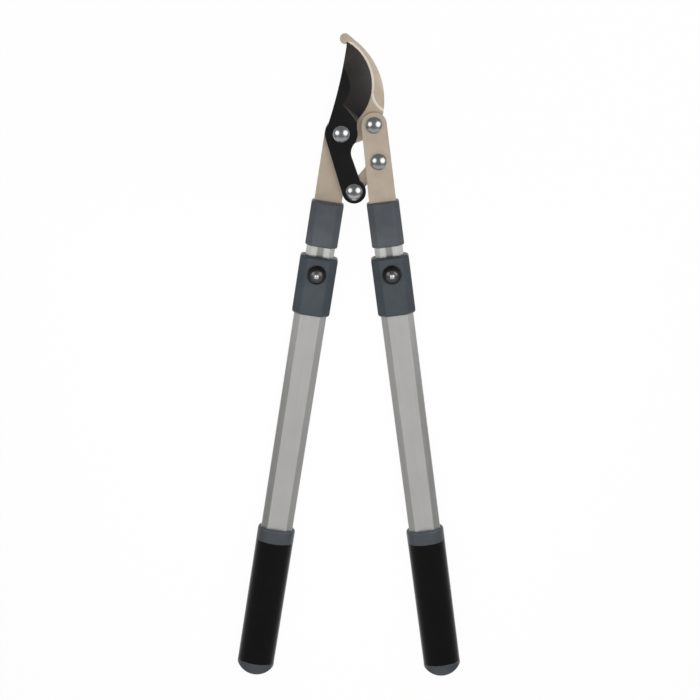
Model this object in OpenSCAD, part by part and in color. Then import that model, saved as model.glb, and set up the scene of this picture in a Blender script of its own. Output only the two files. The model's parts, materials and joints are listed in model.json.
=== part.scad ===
// Bypass loppers with a compound linkage and telescopic handles, closed and pushed in.
// The tool lies flat: X across, Y towards the jaw, Z up through the pivots.
// The origin is on the main pivot's axis, at the surface that the tool lies on.

/* [Pivots] */
// Tail pivot of the blade, across from the main pivot
tail_x = 12.8; // [10:0.1:16]
// Tail pivot of the blade, along the tool from the main pivot
tail_y = -55.1; // [-62:0.1:-52]
// Link pivot on the right arm, across
link_x = 35.7; // [33:0.1:40]
// Link pivot on the right arm, along
link_y = -26; // [-30:0.1:-22]
// Arm pivot on the hook, across
arm_x = 30.8; // [29:0.1:34]
// Arm pivot on the hook, along
arm_y = 8.7; // [6:0.1:11]
// Radius of the pivot bolts
bolt_r = 4; // [3.5:0.1:4.5]
// Radius of the domed bolt heads
head_r = 7.9; // [7:0.1:9]
// Height of the dome above its rim
dome_h = 4.2; // [3:0.1:5.5]
// Height of the rim under the dome
rim_h = 0.9; // [0.5:0.1:1.5]
// Width of the pivot nuts across their flats
nut_flats = 13; // [12:0.5:15]
// Radius of the pivot washers
washer_r = 8; // [7.5:0.1:9]
// Thickness of the pivot washers
washer_t = 1.4; // [1:0.1:1.8]
// Radial clearance of a plate that turns on its bolt
turn_gap = 0.06; // [0.03:0.01:0.1]
// Radial play of the link on the tail bolt
link_play = 1.4; // [1.3:0.1:2]

/* [Plates] */
// Thickness of the hook and of the link
lower_plate_t = 5.5; // [4.5:0.1:6.5]
// Thickness of the blade and of the right arm
upper_plate_t = 5; // [4:0.1:6]
// Running gap between two plates, and under a bolt head
plate_gap = 0.1; // [0.06:0.02:0.2]
// Half the width of the left arm
left_arm_half = 13.2; // [12:0.1:14]
// Radius of the right arm round the arm pivot
right_arm_top_r = 12; // [11:0.1:13]
// Half the width of the right arm where it enters its sleeve
right_arm_half = 13; // [12:0.1:14]
// Radius of the hook's plate round the main pivot
hook_hub_r = 13.5; // [12:0.1:14.5]
// Radius of the hook's plate round the arm pivot
hook_ear_r = 10.5; // [9.5:0.1:11.5]
// Radius of the link's eyes
link_eye_r = 9.4; // [8.5:0.1:9.8]
// Half the width of the link's waist
link_half = 5.8; // [5:0.1:7]

/* [Blade and hook] */
// Radius of the cutting edge
edge_r = 46.1; // [44:0.1:48]
// Centre of the cutting edge, across
edge_x = -18; // [-20:0.1:-16]
// Centre of the cutting edge, along
edge_y = 45.1; // [43:0.1:47]
// Angle of the blade's tip round the centre of the edge
tip_angle = 61; // [58:0.5:64]
// Angle of the blade's heel round the centre of the edge
heel_angle = -45; // [-48:0.5:-42]
// How far the blade's right side is set in from its hub, below the heel
heel_step = 0.8; // [0:0.1:1.5]
// Bow of the blade's spine
spine_bow = 2.2; // [1:0.1:3]
// Radius of the blade round the main pivot
hub_r = 15.4; // [14.5:0.1:16]
// Radius of the tail's eye
tail_eye_r = 11.3; // [10.5:0.1:11.8]
// Half the width of the tail where it meets its eye
tail_neck = 8.7; // [8:0.1:9.5]
// Centre of the hollow between hub and tail, across
waist_x = 23; // [21:0.1:25]
// Centre of the hollow between hub and tail, along
waist_y = -17.8; // [-20:0.1:-16]
// Width of the ground bevel
grind_w = 20.6; // [16:0.1:24]
// Direction of the shoulder that ends the ground bevel
shoulder_angle = 131; // [120:1:140]
// Slope of the wall between the shoulder and the ground bevel
wall_slope = 50; // [45:1:75]
// Thickness left at the cutting edge
edge_t = 0.8; // [0.5:0.1:1.5]
// How far the closed blade passes the hook's inner edge
overlap = 2.5; // [1.5:0.1:4]
// Offset of the hook's back curve from the edge's centre, across
back_dx = -12; // [-14:0.1:-10]
// Offset of the hook's back curve from the edge's centre, along
back_dy = -15; // [-17:0.1:-13]
// How much larger the hook's back curve is than the edge
back_extra = 23.9; // [22:0.1:26]
// Angle of the hook's tip round the centre of the edge
hook_angle = 64.5; // [63:0.5:67]
// How much the hook's tip bulges past its stem
tip_bulge = 1; // [0.5:0.1:2]
// Width of the flat land along the hook's inner edge, from the closed blade
land_w = 2; // [1.5:0.1:3]
// Drop of the hook's bevelled back at its rim
back_drop = 1.5; // [1:0.1:2.5]
// Where the hook's bevel starts near its tip, across
start_x = 12.1; // [10:0.1:14]
// Where the hook's bevel starts near its tip, along
start_y = 86.2; // [84:0.1:88]
// Direction of the line at which the hook's bevel starts
start_angle = -62; // [-70:1:-55]
// Centre of the round end of the hook's bevel, across
runout_x = 48.5; // [47:0.1:50]
// Centre of the round end of the hook's bevel, along
runout_y = 40; // [38:0.1:42]
// Radius of the round end of the hook's bevel
runout_r = 19; // [18:0.1:20]

/* [Handles] */
// Angle of each handle to the tool's axis
splay = 8.28; // [6:0.01:10]
// Distance of the left handle's axis from the main pivot
left_axis = -2.45; // [-4:0.05:-1]
// Distance of the right handle's axis from the main pivot
right_axis = 30.4; // [29:0.05:32]
// How much further down the right handle starts
right_drop = 3; // [0:0.1:4]
// Width of the outer tube
tube_w = 31.8; // [30:0.1:32.5]
// Depth of the outer tube
tube_d = 17; // [16.4:0.1:17.4]
// Width of the outer tube's bevels, seen from the front
bevel_w = 6.4; // [5:0.1:7]
// Depth of the outer tube's bevels
bevel_d = 4.5; // [3.8:0.1:5]
// Wall of the outer tube
outer_wall = 1.5; // [1.2:0.1:1.8]
// Wall of the inner tube
inner_wall = 1.4; // [1.2:0.1:1.6]
// Gap between inner and outer tube
slide_gap = 0.7; // [0.5:0.05:0.9]
// Running gap of the inner tube in the collar and of the guide in the outer tube
guide_gap = 0.25; // [0.15:0.05:0.4]
// Gap between pieces that are fixed in one another
seat_gap = 0.05; // [0.02:0.01:0.1]
// Width of the grooves along the inner tube
groove_w = 7.2; // [6:0.1:8]
// Depth of the grooves along the inner tube
groove_d = 1.5; // [1:0.1:1.8]
// Radius of the tang rivets
rivet_r = 2.2; // [1.8:0.1:2.4]
// Radius of the rivets' heads
rivet_head_r = 2.7; // [2.5:0.1:2.9]
// Width of the tang in the inner tube
tang_w = 16.5; // [14:0.1:17.5]
// Length of the tang
tang_l = 36; // [30:1:38]

/* [Along the handle] */
// Top of the upper sleeve
sleeve_top = 66.6; // [65:0.1:69]
// Length of the upper sleeve
sleeve_l = 43.9; // [42:0.1:46]
// Wall across the top of the upper sleeve
sleeve_wall = 3; // [2.5:0.1:4]
// Thickness of the upper sleeve at the sides of the inner tube
sleeve_side = 1.9; // [1.6:0.1:2.5]
// Thickness of the upper sleeve at the front and back of the inner tube
sleeve_face = 3.7; // [3.2:0.1:4.5]
// Rounding of the upper sleeve's ends
sleeve_round = 2.2; // [1:0.1:2.6]
// Top of the lower collar
collar_top = 120.3; // [118:0.1:123]
// Length of the lower collar
collar_l = 58.7; // [56:0.1:64]
// Wall across the top of the lower collar
collar_wall = 4; // [3:0.1:5]
// Thickness of the lower collar at the sides of the outer tube
collar_side = 2.5; // [2.1:0.1:3.1]
// Thickness of the lower collar at the front and back of the outer tube
collar_face = 3.5; // [3:0.1:4]
// Width of the collar's bevels
collar_bevel_w = 8; // [7:0.1:9]
// Depth of the collar's bevels
collar_bevel_d = 6; // [5:0.1:7]
// Rounding of the collar's ends
collar_round = 3.6; // [2:0.1:4]
// Top of the grip's grey ring
grip_top = 406.9; // [395:0.1:420]
// Length of the grip's grey ring
ring_l = 14.1; // [11:0.1:18]
// Length of the black grip cover
cover_l = 136.5; // [125:0.1:145]
// Length of the grip's end cap
cap_l = 15.2; // [14:0.1:20]
// Solid bottom of the end cap, under the tube
cap_floor = 13; // [10:0.1:15]
// Radius of the end cap's round bottom
cap_r = 21; // [20.5:0.1:24]
// Thickness of the grip at the sides of the outer tube
grip_side = 3; // [2.8:0.1:3.6]
// Thickness of the grip at the front and back of the outer tube
grip_face = 4.5; // [4.2:0.1:5]
// Radius of the grip's sides
grip_side_r = 11.5; // [11:0.1:12.4]
// Thickness of the black grip cover
cover_t = 1.6; // [1.4:0.1:1.8]
// Rounding of the ring's top edge
ring_round = 2.6; // [1:0.1:3]

/* [Lock] */
// Place of the lock button along the handle
button_at = 136.9; // [134:0.1:140]
// Radius of the lock button
button_r = 9; // [8.5:0.1:9.3]
// Height of the button's straight side
button_side = 1.5; // [1:0.1:2.5]
// Height of the button's dome
button_dome = 6.5; // [5.5:0.1:7.5]
// Wall of the button round its spring
button_wall = 1.2; // [1:0.1:1.5]
// Travel of the button
button_travel = 3; // [2.5:0.1:3.2]
// Gap round the button in the collar, and under it
button_gap = 0.35; // [0.25:0.05:0.5]
// Radius of the lock pin's neck
neck_r = 2; // [1.6:0.1:2.2]
// Radius of the lock pin's steel end in the button
pin_head_r = 2.9; // [2.5:0.1:3.2]
// Height of the steel end's dome, half of it above the button
pin_dome = 1.8; // [1:0.1:2.4]
// Radius of the lock pin's shoulder
shoulder_r = 3.3; // [3:0.1:3.5]
// Length of the lock pin's shoulder
shoulder_l = 2.6; // [2:0.1:3]
// Gap round the lock pin
pin_gap = 0.25; // [0.2:0.05:0.4]
// Distance between two lock positions
lock_step = 60; // [50:1:65]
// Number of lock positions
lock_count = 6; // [4:1:6]
// Length of inner tube left in the outer one at full reach
kept_l = 60; // [50:1:70]
// Length of the plug of the slide guide
guide_plug = 14; // [10:1:20]
// Thickness of the slide guide's flange
guide_flange = 5; // [3:0.5:8]
// Diameter of the lock spring's wire
wire_d = 0.8; // [0.6:0.1:1]
// Turns of the lock spring
spring_turns = 4; // [3:1:4]

/* [Hidden] */
$fn = 64;

// Colours
tan_steel = "#b8aa96";
black_coat = "#1b191a";
chrome = "#c9ccd0";
zinc = "#a9acb0";
aluminium = "#aeaca8";
grey_plastic = "#4b5055";
black_rubber = "#1a1819";
black_plastic = "#242424";
black_gloss = "#121011";

// A cut reaches this far past the face that it opens
past = 1;
// Reach of a half plane, larger than the tool's head
far = 300;

main = [0, 0];
tail = [tail_x, tail_y];
link = [link_x, link_y];
arm = [arm_x, arm_y];
edge_c = [edge_x, edge_y];
waist_c = [waist_x, waist_y];
waist_r = norm(waist_c) - hub_r;

// Tube profiles: width, depth, and the bevels' width and depth
outer_profile = [tube_w, tube_d, bevel_w, bevel_d];
outer_bore = inset(outer_profile, outer_wall);
inner_profile = inset(outer_bore, slide_gap);
inner_bore = inset(inner_profile, inner_wall);
guide_profile = inset(outer_bore, guide_gap);

// Widths and depths of the pieces round the tubes
sleeve_w = inner_profile.x + 2 * sleeve_side;
sleeve_d = inner_profile.y + 2 * sleeve_face;
collar_w = tube_w + 2 * collar_side;
collar_d = tube_d + 2 * collar_face;
grip_w = tube_w + 2 * grip_side;
grip_d = tube_d + 2 * grip_face;
sleeve_profile = [sleeve_w, sleeve_d, bevel_w, bevel_d];
collar_profile = [collar_w, collar_d, collar_bevel_w, collar_bevel_d];

// Heights: the grips and the pivot nuts rest on the ground, the plates lie on either side of the
// handles' middle plane
mid_z = grip_d / 2;
lower_top = mid_z - plate_gap / 2;
lower_z = lower_top - lower_plate_t;
upper_z = mid_z + plate_gap / 2;
upper_top = upper_z + upper_plate_t;
nut_h = lower_z - washer_t;

// Places along the handle
reach = lock_step * (lock_count - 1);
sleeve_end = sleeve_top + sleeve_l;
inner_top = sleeve_top + sleeve_wall;
tang_top = sleeve_top + past;
tang_end = tang_top + tang_l;
collar_end = collar_top + collar_l;
outer_top = collar_top + collar_wall;
inner_end = outer_top + reach + kept_l;
ring_end = grip_top + ring_l;
cover_end = ring_end + cover_l;
grip_end = cover_end + cap_l;
outer_end = grip_end - cap_floor;
groove_floor = inner_profile.y / 2 - groove_d;
rib_face = groove_floor - inner_wall;
tang_t = 2 * (rib_face - seat_gap);

// Heights of the lock, from the handle's middle plane
tube_face = tube_d / 2;
button_base = collar_d / 2 + button_gap;
button_top = button_base + button_side + button_dome;
cup_top = tube_face + wire_d * (spring_turns + 1) + button_travel;
shoulder_top = rib_face - pin_gap;
spring_r = (button_r - button_wall + neck_r) / 2;
spring_l = cup_top - tube_face;

// Unit vector at an angle
function unit(a) = [cos(a), sin(a)];

// Points where a straight line touches two circles; a radius below zero is on the line's other side
function tangent(c1, r1, c2, r2, side) =
    let (v = c2 - c1, a = atan2(v.y, v.x) + side * acos((r1 - r2) / norm(v)))
    [c1 + r1 * unit(a), c2 + r2 * unit(a)];

// A bevelled rectangle's profile, made smaller all round by t
function inset(p, t) =
    let (
        slant = norm([p[2], p[3]]),
        line = p[3] * p.x / 2 + p[2] * (p.y / 2 - p[3]) - t * slant,
        w = p.x - 2 * t,
        d = p.y - 2 * t
    )
    [w, d, w / 2 - (line - p[2] * d / 2) / p[3], d / 2 - (line - p[3] * w / 2) / p[2]];

function grown(p, t) = inset(p, -t);

// Centre of the circle through two points, on the left of the way from a to b, with a given bow
function bow_centre(a, b, bow) =
    let (chord = b - a, r = bow_radius(a, b, bow), left = [-chord.y, chord.x] / norm(chord))
    (a + b) / 2 + (r - bow) * left;

function bow_radius(a, b, bow) = (pow(norm(b - a) / 2, 2) + bow * bow) / (2 * bow);

module profile(p) {
    x = p.x / 2;
    y = p.y / 2;
    polygon([
        [x, y - p[3]], [x - p[2], y], [p[2] - x, y], [-x, y - p[3]],
        [-x, p[3] - y], [p[2] - x, -y], [x - p[2], -y], [x, p[3] - y]
    ]);
}

// Four tangent arcs: flat crowned faces and rounder sides
module oval(w, d, side_r) {
    c = w / 2 - side_r;
    crown_r = (c * c + d * d / 4 - side_r * side_r) / (d - 2 * side_r);
    e = crown_r - d / 2;
    touch = c * crown_r / (crown_r - side_r);
    for (s = [-1, 1]) translate([s * c, 0]) circle(side_r);
    intersection() {
        translate([0, -e]) circle(crown_r, $fn = 128);
        translate([0, e]) circle(crown_r, $fn = 128);
        square([2 * touch, 2 * d], center = true);
    }
}

module tangent_bar(c1, r1, c2, r2) {
    a = tangent(c1, r1, c2, r2, 1);
    b = tangent(c1, r1, c2, r2, -1);
    translate(c1) circle(r1);
    translate(c2) circle(r2);
    polygon([a[0], a[1], b[1], b[0]]);
}

module round_rect(x0, x1, y0, y1, r) {
    for (x = [x0 + r, x1 - r], y = [y0 + r, y1 - r]) translate([x, y]) circle(r);
    translate([x0 + r, y0]) square([x1 - x0 - 2 * r, y1 - y0]);
    translate([x0, y0 + r]) square([x1 - x0, y1 - y0 - 2 * r]);
}

// The half plane on the left of a line through p
module left_of(p, angle) {
    translate(p) rotate(angle) translate([-far, 0]) square([2 * far, far]);
}

module plate(z, t) {
    translate([0, 0, z]) linear_extrude(t) children();
}

// Frames of the two handles: X across, -Y down the handle, Z up from the middle plane
module on_left() {
    foot = left_axis * unit(-splay);
    translate([foot.x, foot.y, mid_z]) rotate(-splay) children();
}

module on_right() {
    foot = right_axis * unit(splay) + right_drop * unit(splay - 90);
    translate([foot.x, foot.y, mid_z]) rotate(splay) children();
}

// A profile in X and Z, carried along the handle
module along(t0, t1) {
    translate([0, -t0, 0]) rotate([90, 0, 0]) linear_extrude(t1 - t0) children();
}

// Rounds the two ends of what it holds, seen from the front and from the side
module round_ends(w, d, t0, t1, r) {
    intersection() {
        children();
        translate([0, 0, -d / 2]) linear_extrude(d) round_rect(-w / 2, w / 2, -t1, -t0, r);
        rotate([90, 0, 90]) translate([0, 0, -w / 2]) linear_extrude(w)
            round_rect(-t1, -t0, -d / 2, d / 2, r);
    }
}

// A round post with a straight side and a ball's cap on top
module domed_post(r, side, h) {
    ball_r = (r * r + h * h) / (2 * h);
    intersection() {
        translate([0, 0, side + h - ball_r]) sphere(ball_r);
        cylinder(h = side + h + past, r = r);
    }
}

module bolt_hole(p, r) {
    translate([p.x, p.y, -past]) cylinder(h = upper_top + 2 * past, r = r);
}

// Jaw

module blade_outline() {
    tip = edge_c + edge_r * unit(tip_angle);
    heel = edge_c + edge_r * unit(heel_angle);
    spine_foot = [-hub_r, 0];
    spine_r = bow_radius(spine_foot, tip, spine_bow);
    outer = tangent(main, hub_r, tail, tail_eye_r, -1);
    inner = tangent(waist_c, waist_r, tail, -tail_neck, -1);
    difference() {
        translate(edge_c) circle(edge_r, $fn = 256);
        translate(bow_centre(spine_foot, tip, spine_bow)) circle(spine_r, $fn = 720);
    }
    circle(hub_r);
    polygon([main, [hub_r - heel_step, 0], heel, edge_c + (edge_r - grind_w) * unit(heel_angle)]);
    translate(tail) circle(tail_eye_r);
    difference() {
        polygon([main, outer[0], outer[1], tail, inner[1], inner[0], hub_r * waist_c / norm(waist_c)]);
        translate(waist_c) circle(waist_r);
    }
}

// What the grinding wheel takes off the front of the blade: a cone round the edge's centre
module blade_grind() {
    slope = (upper_plate_t - edge_t) / grind_w;
    heel = edge_c + edge_r * unit(heel_angle);
    intersection() {
        translate([edge_c.x, edge_c.y, upper_z]) rotate_extrude($fn = 256) polygon([
            [edge_r - grind_w, upper_plate_t],
            [edge_r + past, edge_t - slope * past],
            [edge_r + past, upper_plate_t]
        ]);
        translate([heel.x, heel.y, upper_top]) rotate(shoulder_angle - 180) rotate([90 - wall_slope, 0, 0])
            translate([-far, 0, -far]) cube([2 * far, far, 2 * far]);
    }
}

module cutting_blade() {
    color(black_coat) difference() {
        plate(upper_z, upper_plate_t) blade_outline();
        blade_grind();
        bolt_hole(main, bolt_r + turn_gap);
        bolt_hole(tail, bolt_r + seat_gap);
    }
}

// Middle and half width of the hook's stem, on a ray from the edge's centre
function stem_in() = edge_r - overlap;
function stem_out(a) =
    let (o = [back_dx, back_dy], b = unit(a) * o)
    b + sqrt(b * b - o * o + pow(edge_r + back_extra, 2));

module hook_outline() {
    tip_r = (stem_out(hook_angle) - stem_in()) / 2;
    tip = edge_c + (stem_in() + tip_r) * unit(hook_angle);
    back = edge_c + [back_dx, back_dy];
    touch = tangent(tip, tip_r + tip_bulge, back, edge_r + back_extra, 1);
    foot = left_axis * unit(-splay);
    difference() {
        intersection() {
            translate(back) circle(edge_r + back_extra, $fn = 256);
            polygon([
                edge_c, edge_c + far * unit(hook_angle), edge_c + far * unit(hook_angle / 2),
                [far, arm.y], arm, main
            ]);
        }
        translate(edge_c) circle(stem_in(), $fn = 256);
    }
    translate(tip) circle(tip_r + tip_bulge);
    polygon([tip, touch[0], touch[1]]);
    tangent_bar(main, hook_hub_r, arm, hook_ear_r);
    translate(foot) circle(left_arm_half);
    translate(foot) rotate(-splay) translate([-left_arm_half, -inner_top])
        square([2 * left_arm_half, inner_top]);
}

// The hook's back falls away from the land beside the blade
module hook_bevel() {
    start = edge_r + land_w;
    run = stem_out(0) - start;
    intersection() {
        translate([edge_c.x, edge_c.y, lower_top]) rotate_extrude($fn = 256) polygon([
            [start, 0], [start + 2 * run, -2 * back_drop], [start + 2 * run, 0]
        ]);
        plate(lower_z - past, lower_plate_t + 2 * past) intersection() {
            left_of([start_x, start_y], start_angle);
            union() {
                left_of([0, runout_y], 0);
                translate([runout_x, runout_y]) circle(runout_r);
            }
        }
    }
}

module tang() {
    along(tang_top, tang_end) square([tang_w, tang_t], center = true);
}

module rivet_holes(r) {
    for (t = rivet_places()) translate([0, -t, -tube_d]) cylinder(h = 2 * tube_d, r = r);
}

// Two rivets, a quarter from either end of the tang
function rivet_places() = [for (k = [1, 3]) inner_top + k * (tang_end - inner_top) / 4];

module hook_jaw() {
    color(tan_steel) difference() {
        union() {
            difference() {
                plate(lower_z, lower_plate_t) hook_outline();
                hook_bevel();
            }
            on_left() tang();
        }
        bolt_hole(main, bolt_r + seat_gap);
        bolt_hole(arm, bolt_r + seat_gap);
        on_left() rivet_holes(rivet_r);
    }
}

module right_arm() {
    foot = right_axis * unit(splay) + (right_drop + inner_top) * unit(splay - 90);
    left = foot - right_arm_half * unit(splay);
    right = foot + right_arm_half * unit(splay);
    left_touch = tangent(arm, right_arm_top_r, left, 0, -1)[0];
    right_touch = tangent(arm, right_arm_top_r, right, 0, 1)[0];
    color(tan_steel) difference() {
        union() {
            plate(upper_z, upper_plate_t) {
                translate(arm) circle(right_arm_top_r);
                polygon([left_touch, left, right, right_touch]);
            }
            on_right() tang();
        }
        bolt_hole(arm, bolt_r + turn_gap);
        bolt_hole(link, bolt_r + seat_gap);
        on_right() rivet_holes(rivet_r);
    }
}

module toggle_link() {
    way = (tail - link) / norm(tail - link);
    side = link_half * [-way.y, way.x];
    color(tan_steel) difference() {
        union() {
            for (p = [link, tail]) translate([p.x, p.y, lower_z])
                cylinder(h = lower_plate_t, r = link_eye_r);
            plate(lower_z, lower_plate_t)
                polygon([link + side, tail + side, tail - side, link - side]);
        }
        bolt_hole(link, bolt_r + turn_gap);
        bolt_hole(tail, bolt_r + link_play);
    }
}

// Pivot hardware

module pivot_bolt(p, head_z) {
    color(chrome) translate([p.x, p.y, 0]) {
        cylinder(h = head_z + rim_h / 2, r = bolt_r);
        translate([0, 0, head_z]) domed_post(head_r, rim_h, dome_h);
    }
}

module pivot_washer(p) {
    color(zinc) translate([p.x, p.y, nut_h]) difference() {
        cylinder(h = washer_t - (is_turning(p) ? plate_gap : 0), r = washer_r);
        translate([0, 0, -past]) cylinder(h = washer_t + 2 * past, r = bolt_r + seat_gap);
    }
}

// The tail and link bolts turn against the link, which needs a running gap under it
function is_turning(p) = p == tail || p == link;

module pivot_nut(p) {
    corner = nut_flats / sqrt(3);
    chamfer = corner - nut_flats / 2;
    color(zinc) translate([p.x, p.y, 0]) difference() {
        intersection() {
            cylinder(h = nut_h, r = corner, $fn = 6);
            rotate_extrude() polygon([
                [0, 0], [corner - chamfer, 0], [corner, chamfer / 2],
                [corner, nut_h - chamfer / 2], [corner - chamfer, nut_h], [0, nut_h]
            ]);
        }
        translate([0, 0, -past]) cylinder(h = nut_h + 2 * past, r = bolt_r);
    }
}

// Telescopic handle

module inner_bore_outline(gap) {
    difference() {
        profile(inset(inner_bore, gap));
        for (s = [-1, 1]) translate([0, s * (rib_face - gap + tube_d / 2)])
            square([groove_w + 2 * (inner_wall + gap), tube_d], center = true);
    }
}

module inner_tube() {
    color(aluminium) difference() {
        along(inner_top, inner_end) difference() {
            profile(inner_profile);
            for (s = [-1, 1]) translate([0, s * (groove_floor + tube_d / 2)])
                square([groove_w, tube_d], center = true);
            inner_bore_outline(0);
        }
        rivet_holes(rivet_r);
        linear_extrude(tube_d) {
            translate([-neck_r - pin_gap, -button_at - reach]) square([2 * (neck_r + pin_gap), reach]);
            for (k = [0 : lock_count - 1]) translate([0, -button_at - k * lock_step])
                circle(shoulder_r + pin_gap);
        }
    }
}

module tang_rivets() {
    color(zinc) for (t = rivet_places()) translate([0, -t, 0]) {
        translate([0, 0, -groove_floor]) cylinder(h = 2 * groove_floor, r = rivet_r);
        for (s = [0, 1]) mirror([0, 0, s]) translate([0, 0, groove_floor])
            cylinder(h = groove_d, r = rivet_head_r);
    }
}

module upper_sleeve(plate_z, plate_t, plate_half) {
    color(grey_plastic) difference() {
        round_ends(sleeve_w, sleeve_d, sleeve_top, sleeve_end, sleeve_round)
            along(sleeve_top, sleeve_end) profile(sleeve_profile);
        along(inner_top - seat_gap, sleeve_end + past) profile(grown(inner_profile, seat_gap));
        along(sleeve_top - past, inner_top) {
            translate([-plate_half - seat_gap, plate_z - mid_z - seat_gap])
                square([2 * (plate_half + seat_gap), plate_t + 2 * seat_gap]);
            square([tang_w + 2 * seat_gap, tang_t + 2 * seat_gap], center = true);
        }
    }
}

module slide_guide() {
    color(black_plastic) {
        along(inner_end - guide_plug, inner_end) inner_bore_outline(seat_gap);
        along(inner_end, inner_end + guide_flange) profile(guide_profile);
    }
}

module outer_tube() {
    color(aluminium) difference() {
        along(outer_top, outer_end) difference() {
            profile(outer_profile);
            profile(outer_bore);
        }
        translate([0, -button_at, 0]) cylinder(h = tube_d, r = neck_r + pin_gap);
    }
}

module collar() {
    color(grey_plastic) difference() {
        round_ends(collar_w, collar_d, collar_top, collar_end, collar_round)
            along(collar_top, collar_end) profile(collar_profile);
        along(outer_top, collar_end + past) profile(grown(outer_profile, seat_gap));
        along(collar_top - past, outer_top + past) profile(grown(inner_profile, guide_gap));
        translate([0, -button_at, 0]) cylinder(h = collar_d, r = button_r + button_gap);
    }
}

module grip_section(t0, t1, gap) {
    along(t0, t1) oval(grip_w - 2 * gap, grip_d - 2 * gap, grip_side_r - gap);
}

// Rounds the top of the grip's ring, and cuts the bottom of its cap with a ball
module grip_ends() {
    bottom = grip_end + ring_round;
    intersection() {
        children();
        translate([0, 0, -grip_d]) linear_extrude(2 * grip_d)
            round_rect(-grip_w / 2, grip_w / 2, -bottom, -grip_top, ring_round);
        rotate([90, 0, 90]) translate([0, 0, -grip_w]) linear_extrude(2 * grip_w)
            round_rect(-bottom, -grip_top, -grip_d / 2, grip_d / 2, ring_round);
        translate([0, cap_r - grip_end, 0]) {
            sphere(cap_r);
            translate([-grip_w, 0, -grip_d]) cube([2 * grip_w, grip_end, 2 * grip_d]);
        }
    }
}

module grip_core() {
    color(grey_plastic) difference() {
        grip_ends() {
            grip_section(grip_top, ring_end, 0);
            grip_section(ring_end, cover_end, cover_t);
            grip_section(cover_end, grip_end, 0);
        }
        along(grip_top - past, outer_end) profile(grown(outer_profile, seat_gap));
    }
}

module grip_cover() {
    color(black_rubber) difference() {
        grip_section(ring_end, cover_end, 0);
        grip_section(ring_end - past, cover_end + past, cover_t);
    }
}

// Lock

module lock_button() {
    color(black_gloss) translate([0, -button_at, 0]) difference() {
        translate([0, 0, button_base]) domed_post(button_r, button_side, button_dome);
        translate([0, 0, button_base - past])
            cylinder(h = cup_top - button_base + past, r = button_r - button_wall);
        translate([0, 0, button_base]) cylinder(h = button_top, r = pin_head_r);
    }
}

module lock_pin() {
    dome_z = button_top - pin_dome / 2;
    color(chrome) translate([0, -button_at, 0]) {
        translate([0, 0, dome_z - pin_dome]) domed_post(pin_head_r, pin_dome, pin_dome);
        translate([0, 0, cup_top]) cylinder(h = dome_z - cup_top - pin_dome / 2, r = pin_head_r);
        translate([0, 0, shoulder_top]) cylinder(h = cup_top - shoulder_top, r = neck_r);
        translate([0, 0, shoulder_top - shoulder_l]) cylinder(h = shoulder_l, r = shoulder_r);
    }
}

// A wire along a helix, as rings of points joined by triangles
module lock_spring() {
    sides = 6;
    rings_per_turn = 8;
    rings = rings_per_turn * spring_turns;
    rise = spring_l - wire_d - 2 * seat_gap;
    points = [
        for (i = [0 : rings], k = [0 : sides - 1])
            let (
                a = 360 * spring_turns * i / rings,
                b = 360 * k / sides,
                r = spring_r + wire_d / 2 * cos(b)
            )
            [r * cos(a), r * sin(a), seat_gap + wire_d / 2 + rise * i / rings + wire_d / 2 * sin(b)]
    ];
    walls = [
        for (i = [0 : rings - 1], k = [0 : sides - 1])
            let (
                n = (k + 1) % sides,
                p = i * sides + k,
                q = i * sides + n
            )
            each [[p, p + sides, q], [q, p + sides, q + sides]]
    ];
    start = [for (k = [1 : sides - 2]) [0, k, k + 1]];
    last = rings * sides;
    end = [for (k = [1 : sides - 2]) [last, last + k + 1, last + k]];
    color(zinc) translate([0, -button_at, tube_face]) polyhedron(points, concat(walls, start, end));
}

hook_jaw();
cutting_blade();
right_arm();
toggle_link();

pivot_bolt(main, upper_top + plate_gap);  // main_pivot_bolt
pivot_washer(main);  // main_pivot_washer
pivot_nut(main);  // main_pivot_nut
pivot_bolt(arm, upper_top + plate_gap);  // arm_pivot_bolt
pivot_washer(arm);  // arm_pivot_washer
pivot_nut(arm);  // arm_pivot_nut
pivot_bolt(tail, upper_top);  // tail_pivot_bolt
pivot_washer(tail);  // tail_pivot_washer
pivot_nut(tail);  // tail_pivot_nut
pivot_bolt(link, upper_top);  // link_pivot_bolt
pivot_washer(link);  // link_pivot_washer
pivot_nut(link);  // link_pivot_nut

on_left() inner_tube();  // left_inner_tube
on_left() tang_rivets();  // left_tang_rivets
on_left() upper_sleeve(lower_z, lower_plate_t, left_arm_half);  // left_upper_sleeve
on_left() slide_guide();  // left_slide_guide
on_left() outer_tube();  // left_outer_tube
on_left() collar();  // left_collar
on_left() grip_core();  // left_grip_core
on_left() grip_cover();  // left_grip_cover
on_left() lock_button();  // left_lock_button
on_left() lock_pin();  // left_lock_pin
on_left() lock_spring();  // left_lock_spring

on_right() inner_tube();  // right_inner_tube
on_right() tang_rivets();  // right_tang_rivets
on_right() upper_sleeve(upper_z, upper_plate_t, right_arm_half);  // right_upper_sleeve
on_right() slide_guide();  // right_slide_guide
on_right() outer_tube();  // right_outer_tube
on_right() collar();  // right_collar
on_right() grip_core();  // right_grip_core
on_right() grip_cover();  // right_grip_cover
on_right() lock_button();  // right_lock_button
on_right() lock_pin();  // right_lock_pin
on_right() lock_spring();  // right_lock_spring
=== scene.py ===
import json
import math

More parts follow.
